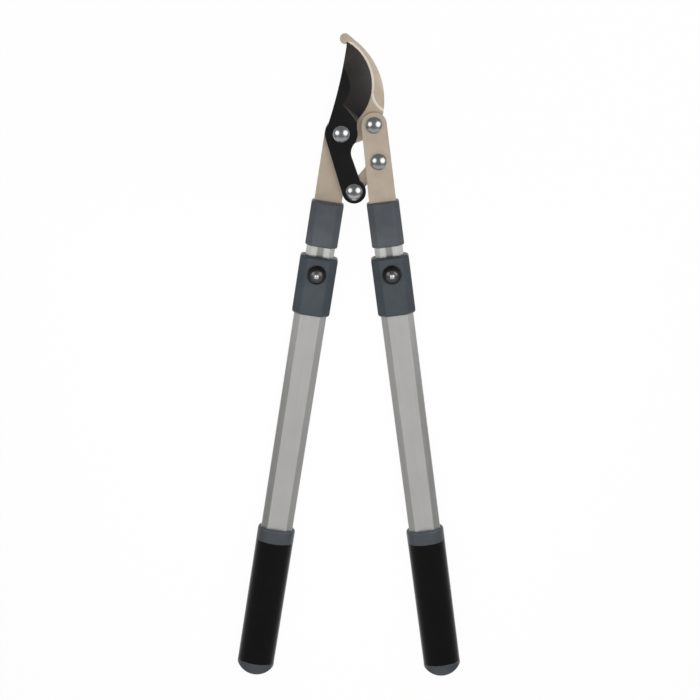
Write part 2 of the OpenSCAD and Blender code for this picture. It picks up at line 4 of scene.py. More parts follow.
import bmesh
import bpy
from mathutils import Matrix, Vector


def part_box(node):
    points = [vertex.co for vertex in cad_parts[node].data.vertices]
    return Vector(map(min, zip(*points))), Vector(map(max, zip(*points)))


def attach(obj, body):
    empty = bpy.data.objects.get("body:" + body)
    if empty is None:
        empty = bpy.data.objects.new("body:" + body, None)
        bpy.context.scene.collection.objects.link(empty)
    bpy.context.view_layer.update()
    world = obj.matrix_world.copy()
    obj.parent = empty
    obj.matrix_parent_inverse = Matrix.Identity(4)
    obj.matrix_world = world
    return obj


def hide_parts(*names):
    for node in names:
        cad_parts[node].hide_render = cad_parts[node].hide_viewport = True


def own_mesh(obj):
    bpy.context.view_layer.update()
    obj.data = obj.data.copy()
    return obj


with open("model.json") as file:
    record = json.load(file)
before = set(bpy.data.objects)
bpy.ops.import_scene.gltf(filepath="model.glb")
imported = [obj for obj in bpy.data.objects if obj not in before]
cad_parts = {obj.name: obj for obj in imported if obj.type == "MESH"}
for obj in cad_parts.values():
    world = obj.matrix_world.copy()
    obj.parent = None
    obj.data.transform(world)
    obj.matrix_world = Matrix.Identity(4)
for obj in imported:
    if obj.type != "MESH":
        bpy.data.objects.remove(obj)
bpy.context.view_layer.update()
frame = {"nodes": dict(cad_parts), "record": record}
scene = bpy.context.scene
mm = 0.001
sides = ("left", "right")
print("frame loaded:", len(frame["nodes"]), "solids")


# camera: above the jaw's end, looking down the handles
cameraSetup = {
    "place": (0.0051, 0.2384, 1.5189),
    "tilt": -16.709,
    "roll": 0.738,
    "lens": 82.286,
    "sensor": 36.0,
    "near": 0.05,
    "far": 200,
}


def makeCamera(setup):
    data = bpy.data.cameras.new("photoCamera")
    data.lens = setup["lens"]
    data.sensor_width = setup["sensor"]
    data.clip_start = setup["near"]
    data.clip_end = setup["far"]
    camera = bpy.data.objects.new("photoCamera", data)
    camera.location = setup["place"]
    camera.rotation_euler = (math.radians(setup["tilt"]), 0, math.radians(setup["roll"]))
    scene.collection.objects.link(camera)
    scene.camera = camera


makeCamera(cameraSetup)
scene.view_settings.view_transform = "Standard"
print("camera set")


# shader sums: a wrapped socket takes part in Python expressions
class Sock:
    def __init__(self, finish, socket):
        self.finish = finish
        self.socket = socket

    def sum(self, operation, first, second):
        return self.finish.add("ShaderNodeMath", {"operation": operation}, {0: first, 1: second})

    def __add__(self, other):
        return self.sum("ADD", self, other)

    def __radd__(self, other):
        return self.sum("ADD", other, self)

    def __sub__(self, other):
        return self.sum("SUBTRACT", self, other)

    def __rsub__(self, other):
        return self.sum("SUBTRACT", other, self)

    def __mul__(self, other):
        return self.sum("MULTIPLY", self, other)

    def __rmul__(self, other):
        return self.sum("MULTIPLY", other, self)


class Finish:
    def __init__(self, tree):
        self.tree = tree
        self.tree.nodes.clear()

    # any node: its type, the settings that come first, then its sockets' values or links
    def add(self, kind, settings=None, sockets=None, out=0):
        node = self.tree.nodes.new(kind)
        for key, value in (settings or {}).items():
            setattr(node, key, value)
        for key, value in (sockets or {}).items():
            if isinstance(value, Sock):
                self.tree.links.new(value.socket, node.inputs[key])
            else:
                node.inputs[key].default_value = value
        if not node.outputs:
            return node
        return Sock(self, node.outputs[out])

    # the Mix node's sockets share their names: 6 and 7 are its colours, 2 is the mixed one
    def mixColour(self, amount, first, second):
        settings = {"data_type": "RGBA", "blend_type": "MIX"}
        return self.add("ShaderNodeMix", settings, {0: amount, 6: first, 7: second}, 2)

    # place on the piece, in metres, turned about Z and stretched
    def place(self, turn=0, stretch=(1, 1, 1)):
        spot = self.add("ShaderNodeTexCoord", out="Object")
        if turn == 0 and stretch == (1, 1, 1):
            return spot
        angles = (0, 0, math.radians(turn))
        turned = self.add("ShaderNodeMapping", {}, {"Vector": spot, "Rotation": angles})
        return self.add("ShaderNodeVectorMath", {"operation": "MULTIPLY"}, {0: turned, 1: stretch})

    def part(self, spot, axis):
        return self.add("ShaderNodeSeparateXYZ", {}, {"Vector": spot}, axis)

    def distance(self, spot, centre):
        return self.add("ShaderNodeVectorMath", {"operation": "DISTANCE"}, {0: spot, 1: centre}, "Value")

    def size(self, value):
        return self.add("ShaderNodeMath", {"operation": "ABSOLUTE"}, {0: value})

    def noise(self, spot, perMetre, detail=2, rough=0.5):
        values = {"Vector": spot, "Scale": perMetre, "Detail": detail, "Roughness": rough}
        return self.add("ShaderNodeTexNoise", {}, values)

    def ramp(self, value, low, high, atLow=0.0, atHigh=1.0):
        values = {"Value": value, "From Min": low, "From Max": high, "To Min": atLow, "To Max": atHigh}
        return self.add("ShaderNodeMapRange", {"clamp": True}, values)

    def bump(self, height, depth, strength):
        return self.add("ShaderNodeBump", {}, {"Strength": strength, "Distance": depth, "Height": height})


def newFinish(name, build):
    material = bpy.data.materials.new(name)
    material.use_nodes = True
    finish = Finish(material.node_tree)
    shader = finish.add("ShaderNodeBsdfPrincipled", {}, build(finish))
    finish.add("ShaderNodeOutputMaterial", {}, {"Surface": shader})
    return material


def colour(*rgb):
    return (*rgb, 1.0)


# a value that wavers about its middle by half the spread each way, as the pattern does
def wavering(middle, pattern, spread):
    return middle + (pattern - 0.5) * spread


# blasted and plated steel of the hook, the arm and the link
tanLook = {
    "pale": colour(0.635, 0.54, 0.435),
    "deep": colour(0.56, 0.47, 0.37),
    "grainPerMetre": 2600,
    "cloudPerMetre": 60,
    "metal": 0.6,
    "rough": 0.55,
    "roughSpread": 0.16,
    "grainDepth": 0.06 * mm,
    "grainStrength": 0.35,
}


def tanSteel(finish):
    look = tanLook
    spot = finish.place()
    cloud = finish.noise(spot, look["cloudPerMetre"], 4, 0.6)
    grain = finish.noise(spot, look["grainPerMetre"], 2, 0.6)
    shade = finish.ramp(wavering(cloud, grain, 0.5), 0.3, 0.7)
    return {
        "Base Color": finish.mixColour(shade, look["deep"], look["pale"]),
        "Metallic": look["metal"],
        "Roughness": wavering(look["rough"], grain, look["roughSpread"]),
        "Normal": finish.bump(grain, look["grainDepth"], look["grainStrength"]),
    }


# the hook's border beside the blade and round the end of its bevel is painted lighter: partly rubbed bare
# steel, partly a painted highlight along the bevel's edge
hookWearAndHighlight = {
    "bright": colour(0.91, 0.82, 0.72),
    "edgeCentre": (-18 * mm, 45.1 * mm, 0),
    "edgeR": 47.1 * mm,
    "runoutCentre": (48.5 * mm, 40 * mm, 0),
    "runoutR": 19.9 * mm,
    "start": 85 * mm,
    "half": 0.9 * mm,
    "fade": 0.5 * mm,
    "noneBelow": 11.4 * mm,
    "fullAbove": 12.1 * mm,
}


def rubbedBorderAndHighlight(finish):
    look = hookWearAndHighlight
    spot = finish.place()
    flat = finish.place(0, (1, 1, 0))
    along = finish.part(spot, "Y")
    fromEdge = finish.distance(flat, look["edgeCentre"])
    fromRunout = finish.distance(flat, look["runoutCentre"])

    def line(distance, radius):
        gap = finish.size(distance - radius)
        return finish.ramp(gap, look["half"], look["half"] + look["fade"], 1, 0)

    bendTop = look["runoutCentre"][1]
    above = finish.ramp(along, bendTop - look["fade"], bendTop)
    land = line(fromEdge, look["edgeR"]) * above
    bend = line(fromRunout, look["runoutR"]) * (1 - above)
    outside = finish.ramp(fromEdge, look["edgeR"] - look["half"], look["edgeR"])
    border = finish.add("ShaderNodeMath", {"operation": "MAXIMUM"}, {0: land, 1: bend * outside})
    onTop = finish.ramp(finish.part(spot, "Z"), look["noneBelow"], look["fullAbove"])
    belowTip = finish.ramp(along, look["start"], look["start"] + look["fade"], 1, 0)
    return border * onTop * belowTip


def hookSteel(finish):
    values = tanSteel(finish)
    # the border line is partly wear and partly a painted highlight on the bevel's edge
    values["Base Color"] = finish.mixColour(rubbedBorderAndHighlight(finish), values["Base Color"], hookWearAndHighlight["bright"])
    return values


# non-stick coat of the blade: lighter on its ground face towards the cutting end, partly rubbed thin and
# partly a painted reflection, and lighter on the shoulder and the slanting edges, partly worn and partly a
# painted highlight
coatLook = {
    "black": colour(0.0014, 0.0012, 0.0012),
    "dusty": colour(0.0028, 0.0025, 0.0024),
    "rubbedReflection": colour(0.022, 0.0188, 0.016),
    "bareHighlight": colour(0.034, 0.031, 0.028),
    "wearAndReflectionFrom": 16 * mm,
    "wearAndReflectionFull": 48 * mm,
    "wallUp": (0.45, 0.6),
    "slantUp": (0.9, 0.95),
    "flatUp": (0.982, 0.994),
    "peelPerMetre": 1500,
    "cloudPerMetre": 45,
    "rough": 0.34,
    "roughSpread": 0.16,
    "shine": 0.5,
    "peelDepth": 0.05 * mm,
    "peelStrength": 0.3,
}


# how far a face looks up tells the flat, the ground face and the steep edges apart; the ground face gets a
# painted reflection and the slanting faces a painted highlight, each partly worn coat
def coatWearAndLight(finish, spot):
    look = coatLook
    up = finish.part(finish.add("ShaderNodeNewGeometry", out="True Normal"), "Z")
    steep = finish.ramp(up, *look["slantUp"], 1, 0)
    ground = finish.ramp(up, *look["flatUp"], 1, 0) - steep
    groundWearAndReflection = finish.ramp(finish.part(spot, "Y"), look["wearAndReflectionFrom"], look["wearAndReflectionFull"])
    return ground * groundWearAndReflection, steep * finish.ramp(up, *look["wallUp"])


def blackCoat(finish):
    look = coatLook
    spot = finish.place()
    peel = finish.noise(spot, look["peelPerMetre"], 3, 0.6)
    cloud = finish.noise(spot, look["cloudPerMetre"], 4, 0.6)
    dust = finish.ramp(cloud, 0.35, 0.75)
    # painted reflection on the ground face and painted highlight on the slanting faces, both partly worn
    # coat
    groundWearAndReflection, edges = coatWearAndLight(finish, spot)
    coat = finish.mixColour(dust, look["black"], look["dusty"])
    coat = finish.mixColour(groundWearAndReflection * (0.6 + dust * 0.4), coat, look["rubbedReflection"])
    return {
        "Base Color": finish.mixColour(edges, coat, look["bareHighlight"]),
        "Roughness": wavering(look["rough"], cloud, look["roughSpread"]),
        "Specular IOR Level": look["shine"],
        "Normal": finish.bump(peel, look["peelDepth"], look["peelStrength"]),
    }


# bolt heads and lock pins
chromeLook = {
    "bright": colour(0.55, 0.56, 0.57),
    "hazePerMetre": 350,
    "rough": 0.21,
    "hazeRough": 0.06,
    "hazeDepth": 0.01 * mm,
    "hazeStrength": 0.15,
}


def polishedChrome(finish):
    look = chromeLook
    haze = finish.noise(finish.place(), look["hazePerMetre"], 4, 0.65)
    return {
        "Base Color": look["bright"],
        "Metallic": 1.0,
        "Roughness": look["rough"] + finish.ramp(haze, 0.45, 0.8) * look["hazeRough"],
        "Normal": finish.bump(haze, look["hazeDepth"], look["hazeStrength"]),
    }


# washers, nuts, rivets and springs
zincLook = {
    "pale": colour(0.6, 0.61, 0.63),
    "deep": colour(0.42, 0.43, 0.45),
    "spanglePerMetre": 420,
    "grainPerMetre": 1200,
    "rough": 0.3,
    "grainRough": 0.22,
    "grainDepth": 0.04 * mm,
    "grainStrength": 0.3,
}


def dullZinc(finish):
    look = zincLook
    spot = finish.place()
    values = {"Vector": spot, "Scale": look["spanglePerMetre"]}
    spangle = finish.add("ShaderNodeTexVoronoi", {}, values, "Color")
    grain = finish.noise(spot, look["grainPerMetre"], 3, 0.6)
    shade = finish.add("ShaderNodeSeparateColor", {}, {"Color": spangle}) * 0.5 + grain * 0.5
    return {
        "Base Color": finish.mixColour(shade, look["deep"], look["pale"]),
        "Metallic": 1.0,
        "Roughness": look["rough"] + grain * look["grainRough"],
        "Normal": finish.bump(grain, look["grainDepth"], look["grainStrength"]),
    }


# drawn tubes: fine lines along the handle, the inner tube brighter and smoother
tubeLook = {
    "outer": {"pale": colour(0.5, 0.495, 0.483), "deep": colour(0.44, 0.436, 0.425), "rough": 0.4},
    "inner": {"pale": colour(0.67, 0.665, 0.65), "deep": colour(0.6, 0.595, 0.58), "rough": 0.34},
    "across": 2600,
    "along": 14,
    "cloudPerMetre": 35,
    "metal": 0.86,
    "roughSpread": 0.22,
    "lineDepth": 0.03 * mm,
    "lineStrength": 0.3,
    "grooveShadow": colour(0.33, 0.325, 0.312),
    "grooveSide": (2.4 * mm, 3.6 * mm),
    "grooveHeight": (18.3 * mm, 19.0 * mm),
}


# painted shade on the floor of the inner tube's groove, darker where the recess lies in shadow
def paintedGrooveShade(finish, turn, axis):
    spot = finish.place(turn)
    side = finish.size(finish.part(spot, "X") - axis * mm)
    near = finish.ramp(side, *tubeLook["grooveSide"], 1, 0)
    return near * finish.ramp(finish.part(spot, "Z"), *tubeLook["grooveHeight"], 1, 0)


def drawnTube(which, turn, axis):
    look = tubeLook[which]

    def build(finish):
        stretch = (tubeLook["across"], tubeLook["along"], tubeLook["across"])
        lines = finish.noise(finish.place(turn, stretch), 1, 3)
        cloud = finish.noise(finish.place(), tubeLook["cloudPerMetre"], 3, 0.6)
        shade = finish.ramp(lines * 0.6 + cloud * 0.4, 0.35, 0.65)
        metal = finish.mixColour(shade, look["deep"], look["pale"])
        # the inner tube's groove floor gets painted shade
        if which == "inner":
            metal = finish.mixColour(paintedGrooveShade(finish, turn, axis), metal, tubeLook["grooveShadow"])
        return {
            "Base Color": metal,
            "Metallic": tubeLook["metal"],
            "Roughness": wavering(look["rough"], lines, tubeLook["roughSpread"]),
            "Normal": finish.bump(lines, tubeLook["lineDepth"], tubeLook["lineStrength"]),
        }
    return build


# moulded nylon of one grey: palest on the sleeves; on rings and caps, and most on the collars, darkened as
# painted shade against the overhead panel's light
nylonLook = {
    "pale": {"grey": colour(0.063, 0.072, 0.081), "scuffed": colour(0.079, 0.089, 0.099)},
    "deep": {"grey": colour(0.044, 0.051, 0.059), "scuffed": colour(0.055, 0.063, 0.072)},
    "collarShade": {"grey": colour(0.035, 0.042, 0.049), "scuffed": colour(0.042, 0.051, 0.059)},
    "grainPerMetre": 1700,
    "cloudPerMetre": 55,
    "rough": 0.36,
    "roughSpread": 0.16,
    "shine": 0.3,
    "grainDepth": 0.1 * mm,
    "grainStrength": 0.35,
}


def greyNylon(shade):
    look = nylonLook

    def build(finish):
        spot = finish.place()
        grain = finish.noise(spot, look["grainPerMetre"], 3, 0.65)
        scuffs = finish.ramp(finish.noise(spot, look["cloudPerMetre"], 4, 0.6), 0.35, 0.7)
        return {
            "Base Color": finish.mixColour(scuffs, look[shade]["grey"], look[shade]["scuffed"]),
            "Roughness": wavering(look["rough"], grain, look["roughSpread"]),
            "Specular IOR Level": look["shine"],
            "Normal": finish.bump(grain, look["grainDepth"], look["grainStrength"]),
        }
    return build


# soft closed-cell cover of the grips
foamLook = {
    "black": colour(0.0014, 0.0012, 0.0012),
    "worn": colour(0.0028, 0.0023, 0.0024),
    "cellPerMetre": 1100,
    "cloudPerMetre": 40,
    "rough": 0.74,
    "roughSpread": 0.16,
    "shine": 0.1,
    "sheen": 0.9,
    "sheenRough": 0.35,
    "cellDepth": 0.12 * mm,
    "cellStrength": 0.4,
}


def blackFoam(finish):
    look = foamLook
    spot = finish.place()
    values = {"Vector": spot, "Scale": look["cellPerMetre"]}
    cells = finish.add("ShaderNodeTexVoronoi", {"feature": "SMOOTH_F1"}, values)
    cloud = finish.noise(spot, look["cloudPerMetre"], 4, 0.6)
    return {
        "Base Color": finish.mixColour(finish.ramp(cloud, 0.4, 0.75), look["black"], look["worn"]),
        "Roughness": wavering(look["rough"], cloud, look["roughSpread"]),
        "Specular IOR Level": look["shine"],
        "Sheen Weight": look["sheen"],
        "Sheen Roughness": look["sheenRough"],
        "Normal": finish.bump(cells, look["cellDepth"], look["cellStrength"]),
    }


# moulded black of the buttons: matte low down, polished by the thumb on top
glossLook = {
    "black": colour(0.004, 0.0036, 0.0036),
    "matteBelow": 30.2 * mm,
    "polishedAbove": 31.8 * mm,
    "hazePerMetre": 500,
    "rough": 0.6,
    "roughSpread": 0.2,
    "shine": 0.2,
    "polishRough": 0.14,
    "polishIor": 1.7,
    "hazeDepth": 0.01 * mm,
    "hazeStrength": 0.2,
}


def blackGloss(finish):
    look = glossLook
    spot = finish.place()
    haze = finish.noise(spot, look["hazePerMetre"], 4, 0.6)
    return {
        "Base Color": look["black"],
        "Roughness": wavering(look["rough"], haze, look["roughSpread"]),
        "Specular IOR Level": look["shine"],
        "Coat Weight": finish.ramp(finish.part(spot, "Z"), look["matteBelow"], look["polishedAbove"]),
        "Coat Roughness": look["polishRough"],
        "Coat IOR": look["polishIor"],
        "Normal": finish.bump(haze, look["hazeDepth"], look["hazeStrength"]),
    }


# guides inside the tubes
guideLook = {
    "deep": colour(0.012, 0.012, 0.012),
    "pale": colour(0.022, 0.022, 0.022),
    "grainPerMetre": 1500,
    "rough": 0.5,
    "roughSpread": 0.2,
    "grainDepth": 0.06 * mm,
    "grainStrength": 0.3,
}


def blackNylon(finish):
    look = guideLook
    grain = finish.noise(finish.place(), look["grainPerMetre"], 3, 0.6)
    return {
        "Base Color": finish.mixColour(grain, look["deep"], look["pale"]),
        "Roughness": wavering(look["rough"], grain, look["roughSpread"]),
        "Normal": finish.bump(grain, look["grainDepth"], look["grainStrength"]),
    }


# each finish: its material's name, what makes it, and the slot that it stands for
splay = 8.28
leftAxis = -2.45
rightAxis = 30.4
finishPlan = {
    "tan": ("tanSteel", tanSteel, "tan_steel"),
    "hook": ("hookSteel", hookSteel, "tan_steel"),
    "coat": ("blackCoat", blackCoat, "black_coat"),
    "chrome": ("polishedChrome", polishedChrome, "chrome"),
    "zinc": ("dullZinc", dullZinc, "zinc_steel"),
    "outerLeft": ("outerTubeLeft", drawnTube("outer", splay, leftAxis), "aluminium"),
    "outerRight": ("outerTubeRight", drawnTube("outer", -splay, rightAxis), "aluminium"),
    "innerLeft": ("innerTubeLeft", drawnTube("inner", splay, leftAxis), "aluminium"),
    "innerRight": ("innerTubeRight", drawnTube("inner", -splay, rightAxis), "aluminium"),
    "paleNylon": ("paleNylon", greyNylon("pale"), "grey_plastic"),
    # rings, caps and collars: the same nylon darkened as painted shade
    "ringCapNylonShaded": ("ringCapNylonShaded", greyNylon("deep"), "grey_plastic"),
    "collarNylonShaded": ("collarNylonShaded", greyNylon("collarShade"), "grey_plastic"),
    "foam": ("blackFoam", blackFoam, "black_rubber"),
    "gloss": ("blackGloss", blackGloss, "black_gloss"),
    "blackNylon": ("blackNylon", blackNylon, "black_plastic"),
}
finishes = {key: newFinish(name, build) for key, (name, build, slot) in finishPlan.items()}
print("finishes made:", len(finishes))


bodyOfNode = {}
for bodyName, members in frame["record"]["behaviour"]["bodies"].items():
    for member in members:
        bodyOfNode[member] = bodyName


# how a mesh is cleaned and softened, with its angles in degrees
softening = {
    "weld": 0.002 * mm,
    "flat": 0.4,
    "slanting": (45, 55),
    "slantSteps": 5,
    "sharp": (28, 181),
    "crease": 38,  # shading breaks at sharper edges
}


def markCreases(bm):
    for edge in bm.edges:
        if len(edge.link_faces) == 2:
            edge.smooth = edge.calc_face_angle(0) < math.radians(softening["crease"])


# a mesh becomes a piece that stands for one solid
def addPiece(name, bm, finishName, node):
    bmesh.ops.recalc_face_normals(bm, faces=bm.faces)
    for face in bm.faces:
        face.smooth = True
    markCreases(bm)
    mesh = bpy.data.meshes.new(name)
    bm.to_mesh(mesh)
    bm.free()
    mesh.materials.append(finishes[finishName])
    piece = bpy.data.objects.new(name, mesh)
    scene.collection.objects.link(piece)
    even = piece.modifiers.new("evenShading", "WEIGHTED_NORMAL")
    even.keep_sharp = True
    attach(piece, bodyOfNode[node])
    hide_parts(node)
    return piece


# edges that stand out and whose faces meet at an angle in the given span are rounded
def roundEdges(bm, span, radius, steps):
    low, high = span
    corners = []
    for edge in bm.edges:
        turn = math.degrees(edge.calc_face_angle_signed(0)) if len(edge.link_faces) == 2 else 0
        if low < turn < high:
            corners.append(edge)
    bmesh.ops.bevel(
        bm, geom=corners, offset=radius * mm, offset_type="OFFSET", segments=steps,
        profile=0.5, affect="EDGES", clamp_overlap=True,
    )


# a solid's own mesh with its sharp edges rounded, its slanting ones more
def softened(node, finishName, radius, steps=3, slantRadius=0):
    bm = bmesh.new()
    bm.from_mesh(frame["nodes"][node].data)
    bmesh.ops.remove_doubles(bm, verts=bm.verts, dist=softening["weld"])
    flat = math.radians(softening["flat"])
    bmesh.ops.dissolve_limit(bm, angle_limit=flat, verts=bm.verts, edges=bm.edges)
    if slantRadius:
        roundEdges(bm, softening["slanting"], slantRadius, softening["slantSteps"])
    roundEdges(bm, softening["sharp"], radius, steps)
    return addPiece(node + "_piece", bm, finishName, node)


# rows of points joined into a skin; a closed loop of rows makes a ring
def skin(bm, rows, loop=False, capStart=False, capEnd=False):
    made = [[bm.verts.new(point) for point in row] for row in rows]
    pairs = list(zip(made, made[1:]))
    if loop:
        pairs.append((made[-1], made[0]))
    for first, second in pairs:
        count = len(first)
        for k in range(count):
            n = (k + 1) % count
            bm.faces.new((first[k], first[n], second[n], second[k]))
    if capStart:
        bm.faces.new(made[0][::-1])
    if capEnd:
        bm.faces.new(made[-1])


# a turned shape: radius and height pairs, from the foot's middle to the top's middle
def turned(bm, middle, outline, around=72):
    cx, cy = middle
    rings = []
    for radius, height in outline:
        if radius == 0:
            rings.append([bm.verts.new((cx * mm, cy * mm, height * mm))])
            continue
        ring = []
        for k in range(around):
            a = 2 * math.pi * k / around
            x = cx + radius * math.cos(a)
            y = cy + radius * math.sin(a)
            ring.append(bm.verts.new((x * mm, y * mm, height * mm)))
        rings.append(ring)
    for first, second in zip(rings, rings[1:]):
        for k in range(around):
            n = (k + 1) % around
            if len(first) == 1:
                bm.faces.new((first[0], second[n], second[k]))
            elif len(second) == 1:
                bm.faces.new((first[k], first[n], second[0]))
            else:
                bm.faces.new((first[k], first[n], second[n], second[k]))


# points of a ball's cap, from its rim to its pole
def capOutline(radius, rise, foot, steps):
    ball = (radius * radius + rise * rise) / (2 * rise)
    start = math.asin(min(1, radius / ball))
    points = []
    for k in range(steps + 1):
        a = start * (1 - k / steps)
        points.append((ball * math.sin(a), foot + rise - ball + ball * math.cos(a)))
    points[-1] = (0, foot + rise)
    return points


# plates of the jaw: finish, radius of their edges and of their slanting edges
plateLook = {
    "hook_jaw": ("hook", 0.55, 0),
    "cutting_blade": ("coat", 0.3, 1.0),
    "right_arm": ("tan", 1.1, 0),
    "toggle_link": ("tan", 0.6, 0),
}
for node, (finishName, radius, slantRadius) in plateLook.items():
    softened(node, finishName, radius, 3, slantRadius)
print("plates softened")


# pivot bolts with domed heads, washers and nuts
pivotLook = {
    "spots": {"main": (0, 0), "arm": (30.8, 8.7), "tail": (12.8, -55.1), "link": (35.7, -26.0)},
    "headFoot": {"main": 18.15, "arm": 18.15, "tail": 18.05, "link": 18.05},
    "shankR": 4.0,
    "headR": 7.9,
    "rim": 1.3,
    "rise": 3.5,
    "edge": 0.35,
    "domeSteps": 20,
    "backEdge": 0.2,
}


def makePivots(look):
    shankR, headR, edge = look["shankR"], look["headR"], look["edge"]
    for name, spot in look["spots"].items():
        foot = look["headFoot"][name]
        outline = [(0, 0), (shankR - edge, 0), (shankR, edge), (shankR, foot)]
        outline += [(headR - edge, foot), (headR, foot + edge)]
        outline += capOutline(headR, look["rise"], foot + look["rim"], look["domeSteps"])
        bm = bmesh.new()
        turned(bm, spot, outline)
        addPiece(name + "_pivot_bolt_piece", bm, "chrome", name + "_pivot_bolt")
        for part in ("washer", "nut"):
            softened(name + "_pivot_" + part, "zinc", look["backEdge"], 2)


makePivots(pivotLook)
print("pivots turned")


# places on a handle: across, down along the tube, and up from its middle plane
handleLook = {
    "left": {"foot": (leftAxis, 0), "turn": -splay},
    "right": {"foot": (rightAxis, 3.0), "turn": splay},
    "midZ": 13.0,
}


def handlePoint(side, x, t, z):
    look = handleLook[side]
    a = math.radians(look["turn"])
    across = Vector((math.cos(a), math.sin(a), 0))
    down = Vector((math.sin(a), -math.cos(a), 0))
    axis, drop = look["foot"]
    return (across * (axis + x) + down * (drop + t) + Vector((0, 0, handleLook["midZ"] + z))) * mm


# a bevelled rectangle made smaller all round
def inset(shape, t):
    w, d, bw, bd = shape
    slant = math.hypot(bw, bd)
    line = bd * w / 2 + bw * (d / 2 - bd) - t * slant
    w, d = w - 2 * t, d - 2 * t
    return w, d, w / 2 - (line - bw * d / 2) / bd, d / 2 - (line - bd * w / 2) / bw


# its outline with rounded corners, the same count of points whatever its size
def octagon(shape, radius, steps=4):
    w, d, bw, bd = shape
    x, y = w / 2, d / 2
    corners = [
        (x, bd - y), (x, y - bd), (x - bw, y), (bw - x, y),
        (-x, y - bd), (-x, bd - y), (bw - x, -y), (x - bw, -y),
    ]
    points = []
    for k, corner in enumerate(corners):
        here = Vector(corner)
        back = Vector(corners[k - 1]) - here
        ahead = Vector(corners[(k + 1) % len(corners)]) - here
        half = back.angle(ahead) / 2
        reach = min(radius / math.tan(half), back.length * 0.45, ahead.length * 0.45)
        fillet = reach * math.tan(half)
        inward = (back.normalized() + ahead.normalized()).normalized()
        middle = here + inward * (fillet / math.sin(half))
        start = here + back.normalized() * reach - middle
        end = here + ahead.normalized() * reach - middle
        span = start.angle(end)
        for s in range(steps + 1):
            f = s / steps
            turn = (math.sin((1 - f) * span) * start + math.sin(f * span) * end) / math.sin(span)
            points.append(middle + turn)
    return points


def octagonRow(side, shape, radius, t):
    return [handlePoint(side, p.x, t, p.y) for p in octagon(shape, radius)]


# insets and places that round an end over, from the end's face to the full size
def roundedEnd(radius, steps=6):
    angles = [k / steps * math.pi / 2 for k in range(steps + 1)]
    return [(radius * (1 - math.sin(a)), radius * (1 - math.cos(a))) for a in angles]


# the outside of a sleeve or a collar, rounded over at both ends
def roundedRows(side, shape, look):
    bend = roundedEnd(look["round"])
    places = [(e, look["start"] + a) for e, a in bend]
    places += [(e, look["end"] - a) for e, a in reversed(bend)]
    return [octagonRow(side, inset(shape, e), look["corner"], t) for e, t in places]


tubePiece = {
    "shape": (31.8, 17.0, 6.4, 4.5), "wall": 1.5, "play": 0.7,
    "start": 124.3, "end": 559.7, "corner": 1.6, "boreCorner": 0.4,
}
tubeShape = tubePiece["shape"]
tubeBore = inset(tubeShape, tubePiece["wall"])
innerShape = inset(tubeBore, tubePiece["play"])


def makeTube(side, look):
    start, end = look["start"], look["end"]
    rows = [octagonRow(side, tubeShape, look["corner"], t) for t in (start, end)]
    rows += [octagonRow(side, tubeBore, look["boreCorner"], t) for t in (end, start)]
    bm = bmesh.new()
    skin(bm, rows, loop=True)
    addPiece(side + "_outer_tube_piece", bm, "outer" + side.capitalize(), side + "_outer_tube")


sleevePiece = {
    "start": 66.6, "end": 110.5, "side": 1.9, "face": 3.7, "bevel": (6.4, 4.5),
    "corner": 2.2, "round": 2.2, "depth": 36.0, "gap": 0.05, "boreCorner": 0.3,
}


def makeSleeve(side, look):
    shape = (innerShape[0] + 2 * look["side"], innerShape[1] + 2 * look["face"], *look["bevel"])
    bore = inset(innerShape, -look["gap"])
    rows = roundedRows(side, shape, look)
    for t in (look["end"], look["end"] - look["depth"]):
        rows.append(octagonRow(side, bore, look["boreCorner"], t))
    bm = bmesh.new()
    skin(bm, rows, capStart=True, capEnd=True)
    addPiece(side + "_upper_sleeve_piece", bm, "paleNylon", side + "_upper_sleeve")


collarPiece = {
    "start": 120.3, "end": 179.0, "wall": 4.0, "side": 2.5, "face": 3.5, "bevel": (8.0, 6.0),
    "corner": 2.6, "round": 3.2, "hole": 9.35, "holeAt": 136.9, "holeDepth": 20,
    "throatGap": 0.25, "throatCorner": 0.3, "seatGap": 0.05, "seatCorner": 0.4,
}


# a round hole straight down through a piece's front
def cutHole(piece, side, look):
    bm = bmesh.new()
    centre = handlePoint(side, 0, look["holeAt"], 0) / mm
    foot, top = centre.z, centre.z + look["holeDepth"]
    turned(bm, (centre.x, centre.y), [(0, foot), (look["hole"], foot), (look["hole"], top), (0, top)])
    bmesh.ops.recalc_face_normals(bm, faces=bm.faces)
    mesh = bpy.data.meshes.new("holeCutter")
    bm.to_mesh(mesh)
    bm.free()
    cutter = bpy.data.objects.new("holeCutter", mesh)
    scene.collection.objects.link(cutter)
    cut = piece.modifiers.new("hole", "BOOLEAN")
    cut.object = cutter
    cut.operation = "DIFFERENCE"
    cut.solver = "EXACT"
    piece.modifiers.move(len(piece.modifiers) - 1, 0)
    even = piece.modifiers["evenShading"]
    even.show_viewport = False
    bpy.context.view_layer.update()
    view = bpy.context.evaluated_depsgraph_get()
    result = bpy.data.meshes.new_from_object(piece.evaluated_get(view))
    piece.modifiers.remove(cut)
    piece.data = result
    even.show_viewport = True
    bpy.data.objects.remove(cutter)
    bm = bmesh.new()
    bm.from_mesh(result)
    markCreases(bm)
    bm.to_mesh(result)
    bm.free()


def makeCollar(side, look):
    shape = (tubeShape[0] + 2 * look["side"], tubeShape[1] + 2 * look["face"], *look["bevel"])
    throat = inset(innerShape, -look["throatGap"])
    seat = inset(tubeShape, -look["seatGap"])
    inside = look["start"] + look["wall"]
    rows = roundedRows(side, shape, look)
    rows += [octagonRow(side, seat, look["seatCorner"], t) for t in (look["end"], inside)]
    rows += [octagonRow(side, throat, look["throatCorner"], t) for t in (inside, look["start"])]
    bm = bmesh.new()
    skin(bm, rows, loop=True)
    piece = addPiece(side + "_collar_piece", bm, "collarNylonShaded", side + "_collar")
    cutHole(piece, side, look)


